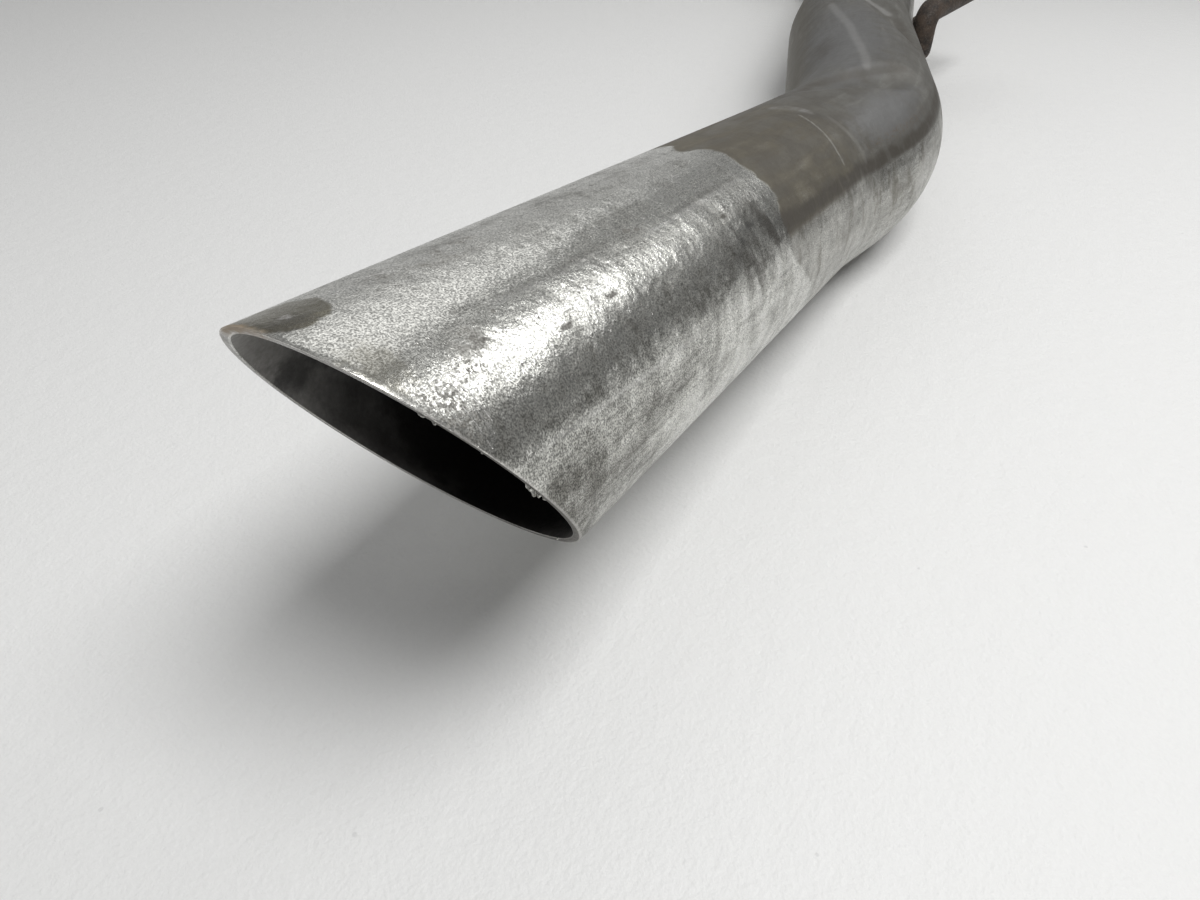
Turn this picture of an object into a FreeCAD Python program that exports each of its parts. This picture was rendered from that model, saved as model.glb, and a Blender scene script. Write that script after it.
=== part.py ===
import FreeCAD, Part
import math
import os
from FreeCAD import Vector

# An exhaust tail pipe with a slash-cut outlet, lying on the ground as it comes to rest.
# Millimetres, +Z up, the ground at z = 0. The outlet points to -X.

# The tube
tube_outer_diameter = 63.5
tube_wall = 1.6
outer_radius = tube_outer_diameter / 2.0
bore_radius = outer_radius - tube_wall

# The outlet, cut off on a slant: 0 degrees would be square to the tube
cut_angle = 41.0
cut_long_side = 4.0             # where the longest side is, turned from the top towards -Y

# The legs, from the outlet to the inlet: compass heading (0 is +X, positive to +Y), slope above
# level, and straight length along the axis. The first length is from the centre of the slash cut.
leg_headings = (0.0, -11.8, 18.0, 12.0, 45.0)
leg_slopes = (-7.3, 0.0, 0.0, 0.0, 0.0)
leg_lengths = (192.8, 14.6, 133.0, 195.0, 190.0)
bend_radii = (90.3, 130.5, 100.0, 110.0)

# The folds that the press left across the top of the second bend and just behind it. Each is the
# mark of a round nose: place along the axis from the slash cut, side it is on (turned from the top
# towards -Y), skew of the crease from square across the tube, depth and radius of the nose.
folds = (
    {"place": 254.0, "side": 8.0, "skew": 50.0, "depth": 5.0, "nose": 17.0},
    {"place": 352.0, "side": 28.0, "skew": -60.0, "depth": 4.0, "nose": 20.0},
)
fold_half_width = 60.0

leg_names = ("outlet leg", "kink", "rear leg", "far leg", "inlet leg")

# The hanger rod: a foot along the far leg, a short rise and an arm
rod_leg = "far leg"
rod_diameter = 12.0
rod_radius = rod_diameter / 2.0
rod_rise_place = 5.5            # along the leg, from its start
rod_foot_length = 42.0
rod_foot_drop = 6.0             # how far the foot lies below the middle of the tube
rod_weld_sink = 0.4             # how deep the rod beds into the skin of the tube
rod_rise = 20.0
rod_arm_heading = -7.5
rod_arm_length = 84.0
rod_bend_radius = 8.5
rod_end_chamfer = 1.2

# The weld beads: one in the groove on each side of the foot, round about the groove and tapered
# at both ends, where the weld was started and left off
bead_radius = 3.5
bead_end_radius = 2.0
bead_taper = 5.0
bead_length = 33.0

up = Vector(0, 0, 1)


def heading_vector(heading, slope):
    """A unit vector from a compass heading and a slope, in degrees."""
    turn = math.radians(heading)
    climb = math.radians(slope)
    level = math.cos(climb)
    return Vector(level * math.cos(turn), level * math.sin(turn), math.sin(climb))


def turned(vector, axis, degrees):
    """The vector turned about an axis through the origin."""
    return FreeCAD.Rotation(axis, degrees).multVec(vector)


def lay_out_centre_line(start, directions, lengths, radii):
    """The runs and arcs of a bent tube or rod, each with what it takes to sweep it."""
    runs = []
    arcs = []
    place = Vector(start)
    for index, direction in enumerate(directions):
        runs.append({"start": Vector(place), "direction": direction, "length": lengths[index]})
        place = place + direction * lengths[index]
        if index < len(radii):
            following = directions[index + 1]
            axis = direction.cross(following)
            axis.normalize()
            inward = axis.cross(direction)
            centre = place + inward * radii[index]
            angle = math.degrees(direction.getAngle(following))
            arcs.append({"start": Vector(place), "direction": direction, "centre": centre,
                         "axis": axis, "angle": angle, "radius": radii[index]})
            place = centre + turned(place - centre, axis, angle)
    return runs, arcs


def sweep_round(runs, arcs, radius, spare_start=0.0, spare_end=0.0):
    """A solid round bar of the given radius along the centre line."""
    solids = []
    for index, run in enumerate(runs):
        start = run["start"]
        length = run["length"]
        if index == 0:
            start = start - run["direction"] * spare_start
            length = length + spare_start
        if index == len(runs) - 1:
            length = length + spare_end
        solids.append(Part.makeCylinder(radius, length, start, run["direction"]))
    for arc in arcs:
        ring = Part.makeCircle(radius, arc["start"], arc["direction"])
        disc = Part.Face(Part.Wire(ring))
        solids.append(disc.revolve(arc["centre"], arc["axis"], arc["angle"]))
    return solids[0].fuse(solids[1:]).removeSplitter()


def place_on_tube(runs, arcs, distance):
    """The point of the centre line at a distance from its start, and the tube's direction there."""
    left = distance
    for index, run in enumerate(runs):
        if left <= run["length"] or index == len(arcs):
            return run["start"] + run["direction"] * left, run["direction"]
        left = left - run["length"]
        arc = arcs[index]
        arc_length = math.radians(arc["angle"]) * arc["radius"]
        if left <= arc_length:
            angle = math.degrees(left / arc["radius"])
            spoke = turned(arc["start"] - arc["centre"], arc["axis"], angle)
            return arc["centre"] + spoke, turned(arc["direction"], arc["axis"], angle)
        left = left - arc_length


def fold_nose(runs, arcs, fold, spare):
    """The round nose that pressed one fold, as a bar across the tube, larger by spare."""
    point, direction = place_on_tube(runs, arcs, fold["place"])
    side = direction.cross(up)
    side.normalize()
    top = side.cross(direction)
    outward = turned(top, direction, fold["side"])
    around = direction.cross(outward)
    crease = turned(around, outward, fold["skew"])
    middle = point + outward * (outer_radius - fold["depth"] + fold["nose"])
    return Part.makeCylinder(fold["nose"] + spare, 2 * fold_half_width,
                             middle - crease * fold_half_width, crease)


def slash_cut_tool(start, direction):
    """The block that the slant cut takes off, beyond a plane through the start of the tube."""
    side = direction.cross(up)
    side.normalize()
    top = side.cross(direction)
    long_side = turned(top, direction, cut_long_side)
    hinge = direction.cross(long_side)
    normal = turned(direction, hinge, cut_angle)
    size = 400.0
    block = Part.makeBox(size, size, size, Vector(-size / 2, -size / 2, -size))
    block.Placement = FreeCAD.Placement(start, FreeCAD.Rotation(up, normal))
    return block


def make_tube(runs, arcs):
    spare = 2.2 * outer_radius
    skin = sweep_round(runs, arcs, outer_radius, spare_start=spare)
    bore = sweep_round(runs, arcs, bore_radius, spare_start=spare + 5, spare_end=5)
    for fold in folds:
        skin = skin.cut(fold_nose(runs, arcs, fold, 0.0))
        bore = bore.cut(fold_nose(runs, arcs, fold, tube_wall))
    tube = skin.cut(bore)
    return tube.cut(slash_cut_tool(runs[0]["start"], runs[0]["direction"]))


def rod_centre_line(leg):
    """The foot, rise and arm of the hanger rod, which stands on the -Y side of the leg."""
    along = leg["direction"]
    side = along.cross(up)
    side.normalize()
    offset = outer_radius + rod_radius - rod_weld_sink
    foot_end = leg["start"] + along * rod_rise_place + side * offset
    corner = rod_bend_radius
    foot_end = foot_end - up * rod_foot_drop
    start = foot_end + along * (rod_foot_length + corner)
    directions = [along * -1, Vector(up), heading_vector(rod_arm_heading, 0)]
    lengths = [rod_foot_length, rod_rise - 2 * corner, rod_arm_length - corner]
    return lay_out_centre_line(start, directions, lengths, [corner, corner])


def make_rod(runs, arcs):
    rod = sweep_round(runs, arcs, rod_radius)
    foot = runs[0]["start"]
    rims = []
    for face in rod.Faces:
        # the arm's end is chamfered, the foot's is left square from the saw
        if isinstance(face.Surface, Part.Plane) and face.CenterOfMass.distanceToPoint(foot) > rod_radius:
            rims.extend(face.Edges)
    return rod.makeChamfer(rod_end_chamfer, rims)


def make_bead(foot, leg, above, tube, rod):
    """Weld metal in one of the two grooves between the foot of the rod and the tube."""
    along = leg["direction"]
    side = along.cross(up)
    side.normalize()
    # the puddles sit in the groove between the two rounds, above or below the line between them
    to_rod = side * (outer_radius + rod_radius - rod_weld_sink) - up * rod_foot_drop
    to_rod.normalize()
    across = along.cross(to_rod) * above
    base = leg["start"] + to_rod * (outer_radius + rod_radius * 0.35) + across * rod_radius * 0.95
    first = (foot["start"] - leg["start"]).dot(along) - 4.0
    start = base + along * first
    end = start - along * bead_length
    outline = [start, start + across * bead_end_radius,
               start - along * bead_taper + across * bead_radius,
               end + along * bead_taper + across * bead_radius,
               end + across * bead_end_radius, end, start]
    profile = Part.Face(Part.makePolygon(outline))
    bead = profile.revolve(start, along, 360)
    return bead.cut(tube).cut(rod)


def build():
    directions = [heading_vector(h, s) for h, s in zip(leg_headings, leg_slopes)]
    runs, arcs = lay_out_centre_line(Vector(0, 0, 0), directions, leg_lengths, bend_radii)
    tube = make_tube(runs, arcs)
    leg = runs[leg_names.index(rod_leg)]
    rod_runs, rod_arcs = rod_centre_line(leg)
    rod = make_rod(rod_runs, rod_arcs)
    nodes = {"tail_tube": tube}
    nodes["rod_weld_upper"] = make_bead(rod_runs[0], leg, 1, tube, rod)
    nodes["rod_weld_lower"] = make_bead(rod_runs[0], leg, -1, tube, rod)
    nodes["hanger_rod"] = rod.cut(tube)
    # The origin is the middle of the whole outline on the ground
    box = Part.makeCompound(list(nodes.values())).optimalBoundingBox()
    middle = Vector((box.XMin + box.XMax) / 2, (box.YMin + box.YMax) / 2, box.ZMin)
    os.makedirs("parts", exist_ok=True)
    for name, shape in nodes.items():
        placed = shape.copy()
        placed.translate(middle * -1)
        solid = placed.Solids[0]
        print(name, "solids", len(placed.Solids), "valid", solid.isValid(), "volume",
              round(solid.Volume, 1))
        solid.exportStep(os.path.join("parts", name + ".step"))
    print("box", box, "moved by", middle * -1)
    print("outlet centre", runs[0]["start"] - middle)
    print("inlet centre", runs[-1]["start"] + runs[-1]["direction"] * runs[-1]["length"] - middle)
    print("arm end", rod_runs[-1]["start"] + rod_runs[-1]["direction"] * rod_runs[-1]["length"] - middle)


build()
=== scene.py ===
import math

import bpy
import numpy as np
from mathutils import Matrix, Vector


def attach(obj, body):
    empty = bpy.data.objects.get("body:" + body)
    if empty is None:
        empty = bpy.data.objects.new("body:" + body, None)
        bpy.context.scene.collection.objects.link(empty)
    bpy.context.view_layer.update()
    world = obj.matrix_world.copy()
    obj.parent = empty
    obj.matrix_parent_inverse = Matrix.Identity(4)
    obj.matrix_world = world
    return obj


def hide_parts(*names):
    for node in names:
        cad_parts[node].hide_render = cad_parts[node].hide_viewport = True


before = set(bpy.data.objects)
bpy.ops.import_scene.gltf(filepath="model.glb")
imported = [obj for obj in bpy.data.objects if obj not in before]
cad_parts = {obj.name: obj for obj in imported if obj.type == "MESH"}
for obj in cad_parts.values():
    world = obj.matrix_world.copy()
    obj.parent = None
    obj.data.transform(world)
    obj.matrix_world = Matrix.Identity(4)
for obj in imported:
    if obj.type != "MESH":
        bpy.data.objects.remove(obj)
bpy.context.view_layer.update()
print("frame loaded")


# Small tools for node trees

def addNode(tree, kind, inputs=None, **settings):
    node = tree.nodes.new(kind)
    for name, value in settings.items():
        setattr(node, name, value)
    for socket, value in (inputs or {}).items():
        if isinstance(value, bpy.types.NodeSocket):
            tree.links.new(value, node.inputs[socket])
        else:
            node.inputs[socket].default_value = value
    return node


def calc(tree, operation, first, second=0.0, third=0.0, clamp=False):
    inputs = {0: first, 1: second}
    if operation == "MULTIPLY_ADD":
        inputs[2] = third
    return addNode(tree, "ShaderNodeMath", inputs, operation=operation, use_clamp=clamp).outputs[0]


def product(tree, *values):
    total = values[0]
    for value in values[1:]:
        total = calc(tree, "MULTIPLY", total, value)
    return total


def addSwing(tree, noise, strength, value, clamp=False):
    # a noise swings about a half, so that half is taken off before it shifts the value
    return calc(tree, "MULTIPLY_ADD", calc(tree, "SUBTRACT", noise, 0.5), strength, value, clamp)


def vectorCalc(tree, operation, first, second=(0.0, 0.0, 0.0)):
    inputs = {0: first}
    if operation == "SCALE":
        inputs["Scale"] = second
    elif operation != "LENGTH":
        inputs[1] = second
    node = addNode(tree, "ShaderNodeVectorMath", inputs, operation=operation)
    return node.outputs["Value" if operation in ("LENGTH", "DISTANCE", "DOT_PRODUCT") else "Vector"]


def remap(tree, value, low, high, outLow=0.0, outHigh=1.0, smooth=True):
    inputs = {"Value": value, "From Min": low, "From Max": high, "To Min": outLow, "To Max": outHigh}
    kind = "SMOOTHSTEP" if smooth else "LINEAR"
    return addNode(tree, "ShaderNodeMapRange", inputs, interpolation_type=kind).outputs["Result"]


def blend(tree, factor, first, second, kind="MIX"):
    node = addNode(tree, "ShaderNodeMix", data_type="RGBA", blend_type=kind)
    for index, value in ((0, factor), (6, first), (7, second)):
        if isinstance(value, bpy.types.NodeSocket):
            tree.links.new(value, node.inputs[index])
        else:
            node.inputs[index].default_value = value
    return node.outputs[2]


def grey(value):
    return (value, value, value, 1.0)


def tone(red, green, blue):
    return (red, green, blue, 1.0)


def join(tree, x, y=0.0, z=0.0):
    return addNode(tree, "ShaderNodeCombineXYZ", {0: x, 1: y, 2: z}).outputs[0]


def makeGroup(name, inputs, outputs):
    group = bpy.data.node_groups.new(name, "ShaderNodeTree")
    kinds = {"v": "NodeSocketVector", "f": "NodeSocketFloat", "c": "NodeSocketColor"}
    for label, kind, value in inputs:
        socket = group.interface.new_socket(label, in_out="INPUT", socket_type=kinds[kind])
        socket.default_value = value
    for label, kind in outputs:
        group.interface.new_socket(label, in_out="OUTPUT", socket_type=kinds[kind])
    return group, group.nodes.new("NodeGroupInput").outputs, group.nodes.new("NodeGroupOutput").inputs


def placeGroup(tree, group, inputs):
    node = tree.nodes.new("ShaderNodeGroup")
    node.node_tree = group
    for socket, value in inputs.items():
        if isinstance(value, bpy.types.NodeSocket):
            tree.links.new(value, node.inputs[socket])
        else:
            node.inputs[socket].default_value = value
    return node.outputs


# Effects that several finishes share. Places are in millimetres.

def makeStrokeGroup():
    group, given, out = makeGroup("strokeMask", [
        ("Place", "v", (0, 0, 0)), ("From", "v", (0, 0, 0)), ("To", "v", (1, 0, 0)),
        ("Width", "f", 1.0), ("Softness", "f", 0.5)], [("Mask", "f")])
    fromStart = vectorCalc(group, "SUBTRACT", given["Place"], given["From"])
    whole = vectorCalc(group, "SUBTRACT", given["To"], given["From"])
    along = vectorCalc(group, "DOT_PRODUCT", fromStart, whole)
    squared = vectorCalc(group, "DOT_PRODUCT", whole, whole)
    share = calc(group, "DIVIDE", along, squared, clamp=True)
    nearest = vectorCalc(group, "SCALE", whole, share)
    away = vectorCalc(group, "DISTANCE", fromStart, nearest)
    outer = calc(group, "ADD", given["Width"], given["Softness"])
    group.links.new(remap(group, away, given["Width"], outer, 1.0, 0.0), out["Mask"])
    return group


def makePatchGroup():
    group, given, out = makeGroup("patchMask", [
        ("Place", "v", (0, 0, 0)), ("Centre", "v", (0, 0, 0)), ("Reach", "v", (1, 1, 1)),
        ("Edge", "f", 0.3), ("Break", "f", 0.3), ("Break Size", "f", 2.0)], [("Mask", "f")])
    offset = vectorCalc(group, "SUBTRACT", given["Place"], given["Centre"])
    away = vectorCalc(group, "LENGTH", vectorCalc(group, "DIVIDE", offset, given["Reach"]))
    pitch = calc(group, "DIVIDE", 1.0, given["Break Size"])
    noise = addNode(group, "ShaderNodeTexNoise", {"Vector": given["Place"], "Scale": pitch,
                                                  "Detail": 4.0, "Roughness": 0.6})
    centred = calc(group, "SUBTRACT", noise.outputs[0], 0.5)
    rough = calc(group, "MULTIPLY_ADD", centred, calc(group, "MULTIPLY", given["Break"], 4.0), away)
    low = calc(group, "SUBTRACT", 1.0, given["Edge"])
    high = calc(group, "ADD", 1.0, given["Edge"])
    group.links.new(remap(group, rough, low, high, 1.0, 0.0), out["Mask"])
    return group


def makePitGroup():
    group, given, out = makeGroup("pitMask", [
        ("Place", "v", (0, 0, 0)), ("Spacing", "f", 3.0), ("Share", "f", 0.2),
        ("Size", "f", 0.4)], [("Mask", "f")])
    pitch = calc(group, "DIVIDE", 1.0, given["Spacing"])
    wobble = addNode(group, "ShaderNodeTexNoise", {"Vector": given["Place"], "Scale": 1.3,
                                                   "Detail": 2.0})
    shift = vectorCalc(group, "SCALE", wobble.outputs["Color"], 0.55)
    bent = vectorCalc(group, "ADD", given["Place"], shift)
    cells = addNode(group, "ShaderNodeTexVoronoi", {"Vector": bent, "Scale": pitch})
    lot = addNode(group, "ShaderNodeSeparateColor", {0: cells.outputs["Color"]})
    chosen = calc(group, "LESS_THAN", lot.outputs[0], given["Share"])
    millimetres = calc(group, "MULTIPLY", cells.outputs["Distance"], given["Spacing"])
    size = calc(group, "MULTIPLY", given["Size"], remap(group, lot.outputs[1], 0.0, 1.0, 0.4, 1.2))
    spot = remap(group, millimetres, calc(group, "MULTIPLY", size, 0.45), size, 1.0, 0.0)
    group.links.new(calc(group, "MULTIPLY", spot, chosen), out["Mask"])
    return group


def makeStreakGroup():
    group, given, out = makeGroup("streakMask", [
        ("Place", "v", (0, 0, 0)), ("Turn", "f", 0.0), ("Length", "f", 20.0), ("Width", "f", 0.4),
        ("Share", "f", 0.3)], [("Mask", "f")])
    turned = addNode(group, "ShaderNodeVectorRotate",
                     {"Vector": given["Place"], "Angle": given["Turn"]},
                     rotation_type="Z_AXIS").outputs[0]
    parts = addNode(group, "ShaderNodeSeparateXYZ", {0: turned}).outputs
    flat = join(group, calc(group, "DIVIDE", parts[0], given["Length"]),
                calc(group, "DIVIDE", parts[1], given["Width"]), 0.0)
    noise = addNode(group, "ShaderNodeTexNoise", {"Vector": flat, "Scale": 1.0, "Detail": 2.0,
                                                  "Roughness": 0.6})
    edge = remap(group, given["Share"], 0.0, 1.0, 0.78, 0.34, smooth=False)
    high = calc(group, "ADD", edge, 0.06)
    group.links.new(remap(group, noise.outputs[0], edge, high), out["Mask"])
    return group


strokeMask = makeStrokeGroup()
patchMask = makePatchGroup()
pitMask = makePitGroup()
streakMask = makeStreakGroup()
print("shared effects made")


# The tail pipe: one bent tube. Millimetres and degrees, as the solid has them.
pipe = {
    "outlet": (-404.9263, -114.8159, 57.6415),
    "headings": (0.0, -11.8, 18.0, 12.0, 45.0),
    "slopes": (-7.3, 0.0, 0.0, 0.0, 0.0),
    "lengths": (192.8, 14.6, 133.0, 195.0, 190.0),
    "bendRadii": (90.3, 130.5, 100.0, 110.0),
    "outerRadius": 31.75,
    "wall": 1.6,
    "cutAngle": 41.0,
    "cutLongSide": 4.0,
    "folds": ((254.0, 8.0, 50.0, 5.0, 17.0), (352.0, 28.0, -60.0, 4.0, 20.0)),
    "segments": 160,
    "edgeRounding": 0.28,
    "foldEase": 1.3,       # how softly the skin turns into a fold
    "frontEnds": 76.0,     # where the finish of the bright front half hands over to the rest
    # rings of the skin: between two distances along the tube, how far apart they stand. They are
    # closer together round the bends and under the folds.
    "ringSteps": ((66, 192, 3.0), (192, 410, 1.7), (410, 446, 2.6), (446, 634, 6.0),
                  (634, 702, 2.6)),
    "lastStep": 6.0,
    "squareFrom": 62.0,    # how far back the rings still lean with the slant cut
    "skinRings": 44,
    "boreRings": 16,
    "boreEvery": 3,        # the bore takes one ring of the skin's in this many
}


def headingVector(heading, slope):
    turn = math.radians(heading)
    climb = math.radians(slope)
    return Vector((math.cos(climb) * math.cos(turn), math.cos(climb) * math.sin(turn), math.sin(climb)))


def layOutPath(start, headings, slopes, lengths, radii):
    place = Vector(start)
    parts = []
    done = 0.0
    directions = [headingVector(h, s) for h, s in zip(headings, slopes)]
    for index, direction in enumerate(directions):
        parts.append(("run", done, lengths[index], place.copy(), direction))
        place = place + direction * lengths[index]
        done += lengths[index]
        if index < len(radii):
            axis = direction.cross(directions[index + 1]).normalized()
            centre = place + axis.cross(direction) * radii[index]
            angle = direction.angle(directions[index + 1])
            parts.append(("bend", done, angle * radii[index], place.copy(), direction, centre, axis,
                          radii[index]))
            place = centre + Matrix.Rotation(angle, 3, axis) @ (place - centre)
            done += angle * radii[index]
    return parts, done


def pathFrame(parts, distance):
    part = parts[0]
    for candidate in parts:
        if distance >= candidate[1]:
            part = candidate
    ahead = distance - part[1]
    if part[0] == "run":
        point = part[3] + part[4] * ahead
        direction = part[4]
    else:
        turn = Matrix.Rotation(ahead / part[7], 3, part[6])
        point = part[5] + turn @ (part[3] - part[5])
        direction = turn @ part[4]
    side = direction.cross(Vector((0, 0, 1))).normalized()
    top = side.cross(direction)
    return point, direction, side, top


def foldNoses(parts, settings):
    noses = []
    for place, side, skew, depth, nose in settings["folds"]:
        point, direction, _, top = pathFrame(parts, place)
        outward = Matrix.Rotation(math.radians(side), 3, direction) @ top
        around = direction.cross(outward)
        crease = Matrix.Rotation(math.radians(skew), 3, outward) @ around
        middle = point + outward * (settings["outerRadius"] - depth + nose)
        noses.append((np.array(middle), np.array(crease), nose))
    return noses


def pressFolds(points, normals, noses, extra, softness):
    # each fold is the mark of a round nose, its edges eased as bent sheet is
    for middle, crease, nose in noses:
        radius = nose + extra
        offset = points - middle
        offset = offset - np.outer(offset @ crease, crease)
        away = np.linalg.norm(offset, axis=1)
        deep = radius - away
        eased = np.where(deep > softness, deep, np.where(deep < -softness, 0.0,
                         (deep + softness) ** 2 / (4 * softness)))
        lean = -np.einsum("ij,ij->i", offset, normals) / np.maximum(away, 1e-6)
        points = points - normals * (eased / np.maximum(lean, 0.45))[:, None]
    return points


def stations(settings, total):
    last = settings["lastStep"]
    steps = []
    ends = ((settings["ringSteps"][-1][1], total - 4, last),)
    for start, end, step in settings["ringSteps"] + ends:
        steps.extend(np.arange(start, end, step))
    return steps


def tubeRings(settings, rolls, total):
    # each ring is its radius, how far along the tube each of its points is, and its surface
    outer = settings["outerRadius"]
    inner = outer - settings["wall"]
    slant = math.tan(math.radians(settings["cutAngle"]))
    lean = np.cos(rolls - math.radians(settings["cutLongSide"]))
    ease = settings["edgeRounding"]
    rings = []

    def nearMouth(radius, beyond):
        return -radius * slant * lean + beyond

    def slanted(radius, share):
        return nearMouth(radius, ease) * (1 - share) + settings["squareFrom"] * share

    for share in np.linspace(0.0, 1.0, settings["skinRings"]):
        rings.append((outer, slanted(outer, share), "skin"))
    for place in stations(settings, total):
        rings.append((outer, np.full(len(rolls), place), "skin"))
    edge = ((outer, ease), (outer - ease * 0.3, ease * 0.3), (outer - ease, 0.0),
            (inner + ease, 0.0), (inner + ease * 0.3, ease * 0.3), (inner, ease))
    for radius, beyond in edge:
        rings.append((radius, np.full(len(rolls), total - beyond), "rim"))
    for place in reversed(stations(settings, total)[::settings["boreEvery"]]):
        rings.append((inner, np.full(len(rolls), place), "bore"))
    for share in np.linspace(1.0, 0.0, settings["boreRings"]):
        rings.append((inner, slanted(inner, share), "bore"))
    for radius, beyond in reversed(edge[1:5]):
        rings.append((radius, nearMouth(radius, beyond), "rim"))
    return rings


def makeTube(settings):
    parts, total = layOutPath(settings["outlet"], settings["headings"], settings["slopes"],
                              settings["lengths"], settings["bendRadii"])
    noses = foldNoses(parts, settings)
    count = settings["segments"]
    rolls = np.linspace(0, 2 * math.pi, count, endpoint=False)
    rings = tubeRings(settings, rolls, total)
    points = []
    straight = []
    for radius, places, surface in rings:
        radial = np.outer(np.sin(rolls), (0, 1, 0)) + np.outer(np.cos(rolls), (0, 0, 1))
        centre = np.empty((count, 3))
        normal = np.empty((count, 3))
        known = {}
        for index in range(count):
            key = round(float(places[index]), 4)
            if key not in known:
                known[key] = [np.array(v) for v in pathFrame(parts, max(key, 0.0))] + [min(key, 0.0)]
            point, direction, side, top, spare = known[key]
            centre[index] = point + direction * spare
            normal[index] = side * math.sin(rolls[index]) + top * math.cos(rolls[index])
        ringPoints = centre + normal * radius
        if surface != "rim":
            extra = settings["wall"] if surface == "bore" else 0.0
            ringPoints = pressFolds(ringPoints, normal, noses, extra, settings["foldEase"])
        points.append(ringPoints)
        straight.append(np.column_stack((places, radius * radial[:, 1], radius * radial[:, 2])))
    points = np.concatenate(points) * 0.001
    straight = np.concatenate(straight)
    faces = []
    slots = []
    ringCount = len(rings)
    for ring in range(ringCount):
        following = (ring + 1) % ringCount
        inside = rings[ring][2] == "bore" and rings[following][2] == "bore"
        farthest = max(rings[ring][1].max(), rings[following][1].max())
        slot = 1 if inside else 0 if farthest < settings["frontEnds"] else 2
        for index in range(count):
            beside = (index + 1) % count
            faces.append((ring * count + index, ring * count + beside,
                          following * count + beside, following * count + index))
            slots.append(slot)
    mesh = bpy.data.meshes.new("tailTube")
    mesh.from_pydata(points.tolist(), [], faces)
    mesh.polygons.foreach_set("material_index", slots)
    mesh.polygons.foreach_set("use_smooth", [True] * len(faces))
    place = mesh.attributes.new("straightPlace", "FLOAT_VECTOR", "POINT")
    place.data.foreach_set("vector", straight.ravel().astype(np.float32))
    mesh.update()
    tube = bpy.data.objects.new("tailTube", mesh)
    bpy.context.scene.collection.objects.link(tube)
    return tube, parts


def facesOut(piece):
    mesh = piece.data
    points = np.empty(len(mesh.vertices) * 3)
    mesh.vertices.foreach_get("co", points)
    points = points.reshape(-1, 3)
    mesh.calc_loop_triangles()
    corners = np.empty(len(mesh.loop_triangles) * 3, dtype=np.int64)
    mesh.loop_triangles.foreach_get("vertices", corners)
    corners = corners.reshape(-1, 3)
    volume = np.einsum("ij,ij->i", points[corners[:, 0]],
                       np.cross(points[corners[:, 1]], points[corners[:, 2]])).sum()
    if volume < 0:
        mesh.flip_normals()


tube, pathParts = makeTube(pipe)
facesOut(tube)
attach(tube, "root")
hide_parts("tail_tube")
print("tube made", len(tube.data.polygons), "faces")


# The finish of the tube. Places on it are (distance from the outlet, roll from the top to the
# hanger rod's side), in millimetres and degrees.
skin = {
    "brightMetal": tone(0.64, 0.638, 0.602),
    "darkMetal": tone(0.178, 0.174, 0.157),
    "paleMetal": tone(0.80, 0.79, 0.77),
    "brownFilm": tone(0.110, 0.096, 0.066),
    "greyFilm": tone(0.124, 0.121, 0.109),
    "blueFilm": tone(0.136, 0.138, 0.141),
    "sideMetal": tone(0.265, 0.257, 0.232),
    # dark stain; the same colour also paints shade and a dark reflection
    "darkStainAndShade": tone(0.066, 0.058, 0.047),
    "tipFilm": tone(0.134, 0.119, 0.075),
    "olive": tone(0.235, 0.220, 0.170),
    "tanRust": tone(0.36, 0.27, 0.18),
    # painted shade of the sawn end faces, a darker and a lighter tone for the saw marks
    "shadedCutFace": tone(0.110, 0.103, 0.093),
    "shadedCutFaceLight": tone(0.20, 0.19, 0.175),
    "paleOuterEdge": tone(0.60, 0.585, 0.56),
    "filmEdge": ((-180, 150), (-60, 124), (-20, 118.5), (-13, 117.5), (-6, 111.5), (-2, 109.8),
                 (2, 116), (10, 119.5), (20, 117.5), (31, 119.5), (45, 119.5), (55, 117),
                 (69, 117), (82, 124), (100, 138), (140, 150), (180, 150)),
    "filmShare": ((-180, 0.35), (-110, 0.6), (-60, 1.0), (50, 1.0), (61, 1.0), (66, 0.30),
                  (115, 0.18), (180, 0.35)),
    "scar": tone(0.55, 0.53, 0.51),
    "rustSpot": tone(0.12, 0.085, 0.055),
    # pale film, also the colour of painted highlights
    "paleFilmAndHighlight": tone(0.40, 0.395, 0.385),
    "dieLine": tone(0.5, 0.49, 0.47),
    "faintLine": tone(0.4, 0.39, 0.37),
    "arcPerDegree": pipe["outerRadius"] * math.pi / 180,
}


def tubePlaces(tree):
    read = addNode(tree, "ShaderNodeAttribute", attribute_name="straightPlace")
    parts = addNode(tree, "ShaderNodeSeparateXYZ", {0: read.outputs["Vector"]}).outputs
    roll = calc(tree, "MULTIPLY", calc(tree, "ARCTAN2", parts[1], parts[2]), 180 / math.pi)
    flat = join(tree, parts[0], calc(tree, "MULTIPLY", roll, skin["arcPerDegree"]), 0.0)
    return {"place": read.outputs["Vector"], "distance": parts[0], "roll": roll, "flat": flat,
            "radius": vectorCalc(tree, "LENGTH", join(tree, 0.0, parts[1], parts[2]))}


def rollCurve(tree, roll, points, top):
    share = calc(tree, "MULTIPLY_ADD", roll, 1 / 360, 0.5)
    node = addNode(tree, "ShaderNodeFloatCurve", {"Value": share})
    curve = node.mapping.curves[0]
    for index, (where, value) in enumerate(points):
        x, y = (where + 180) / 360, value / top
        if index == 0:
            curve.points[0].location = (x, y)
        elif index == len(points) - 1:
            curve.points[len(curve.points) - 1].location = (x, y)
        else:
            curve.points.new(x, y)
    node.mapping.update()
    return calc(tree, "MULTIPLY", node.outputs[0], top)


def spot(distance, roll):
    return (distance, roll * skin["arcPerDegree"], 0.0)


def stroke(tree, flat, start, end, width, softness):
    return placeGroup(tree, strokeMask, {"Place": flat, "From": spot(*start), "To": spot(*end),
                                         "Width": width, "Softness": softness})["Mask"]


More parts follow.
